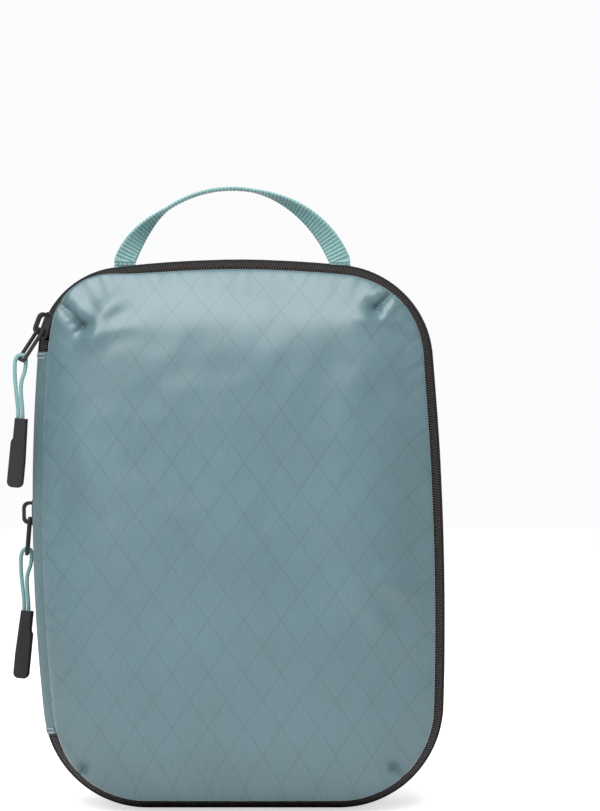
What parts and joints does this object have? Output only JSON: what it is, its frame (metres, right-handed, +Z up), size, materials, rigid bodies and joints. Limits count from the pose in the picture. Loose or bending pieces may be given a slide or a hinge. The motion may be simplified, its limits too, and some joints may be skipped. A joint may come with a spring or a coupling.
{
  "type": "packing cube",
  "caption": "Soft zipped packing cube standing on end, with rounded corners, a webbing handle, a hinged front panel and a second zipper that lets out a folded gusset.",
  "frame": {"origin": "on the flat underside, at mid width, under the front gusset", "axes": "+Z up along the height, towards the handle; -Y out of the front panel, which opens; -X is the side with the hinge strip and both zipper pulls"},
  "size_m": [0.2067, 0.089, 0.2936],
  "materials": {
    "shell_cloth": "coated ripstop nylon with a soft sheen and a dotted diamond grid",
    "gusset_lining": "thin plain-weave nylon",
    "binding_tape": "black grosgrain binding",
    "zipper_tape": "black woven tape",
    "zipper_coil": "dark nylon coil",
    "slider_metal": "satin black",
    "pull_cord": "braided nylon cord",
    "grip_rubber": "matte moulded rubber",
    "webbing": "cross-ribbed narrow webbing"
  },
  "bodies": {
    "rear_shell": {"back_panel": "shell_cloth", "rear_gusset": "shell_cloth", "back_seam_binding": "binding_tape", "compression_tape_rear": "zipper_tape", "compression_coil_rear": "zipper_coil", "expansion_gusset": "gusset_lining"},
    "front_frame": {"front_gusset": "shell_cloth", "compression_tape_front": "zipper_tape", "compression_coil_front": "zipper_coil", "main_tape_inner": "zipper_tape", "main_coil_inner": "zipper_coil", "hinge_strip": "shell_cloth", "hinge_strip_ends": "shell_cloth", "frame_seam_binding": "binding_tape", "handle_anchors": "webbing"},
    "handle": {"carry_handle": "webbing"},
    "lid": {"front_panel": "shell_cloth", "front_seam_binding": "binding_tape", "main_tape_outer": "zipper_tape", "main_coil_outer": "zipper_coil"},
    "main_slider_body": {"main_slider": "slider_metal"},
    "main_pull": {"main_pull_tab": "slider_metal"},
    "main_pull_end": {"main_pull_cord": "pull_cord", "main_pull_grip": "grip_rubber"},
    "compression_slider_body": {"compression_slider": "slider_metal"},
    "compression_pull": {"compression_pull_tab": "slider_metal"},
    "compression_pull_end": {"compression_pull_cord": "pull_cord", "compression_pull_grip": "grip_rubber"}
  },
  "joints": [
    {"name": "compression_expand", "type": "slide", "parent": "rear_shell", "child": "front_frame", "axis": [0, -1, 0], "range_m": [0, 0.028], "deforming": ["expansion_gusset"]},
    {"name": "lid_hinge", "type": "hinge", "parent": "front_frame", "child": "lid", "pos_m": [-0.0919, -0.025, 0.13], "axis": [0, 0, -1], "range_deg": [0, 110]},
    {"name": "handle_fold", "type": "hinge", "parent": "front_frame", "child": "handle", "pos_m": [-0.003, -0.0135, 0.26039], "axis": [1, 0, 0], "range_deg": [-70, 70]},
    {"name": "main_slider_run", "type": "hinge", "parent": "front_frame", "child": "main_slider_body", "pos_m": [-0.0534, -0.0195, 0.21472], "axis": [0, 1, 0], "range_deg": [0, 40]},
    {"name": "main_pull_swing", "type": "hinge", "parent": "main_slider_body", "child": "main_pull", "pos_m": [-0.0928, -0.02082, 0.22609], "axis": [-0.4442, 0.8812, 0.1617], "range_deg": [0, 75]},
    {"name": "main_cord_swing", "type": "hinge", "parent": "main_pull", "child": "main_pull_end", "pos_m": [-0.1018, -0.02276, 0.21191], "axis": [0, 1, 0], "range_deg": [-3, 60]},
    {"name": "compression_slider_run", "type": "hinge", "parent": "rear_shell", "child": "compression_slider_body", "pos_m": [0.852, 0.009, 0.146], "axis": [0, 1, 0], "range_deg": [0, 3.6]},
    {"name": "compression_pull_swing", "type": "hinge", "parent": "compression_slider_body", "child": "compression_pull", "pos_m": [-0.10075, 0.009, 0.13618], "axis": [0, 1, 0], "range_deg": [0, 80]},
    {"name": "compression_cord_swing", "type": "hinge", "parent": "compression_pull", "child": "compression_pull_end", "pos_m": [-0.1021, 0.009, 0.11933], "axis": [0, 1, 0], "range_deg": [-3, 60]}
  ]
}
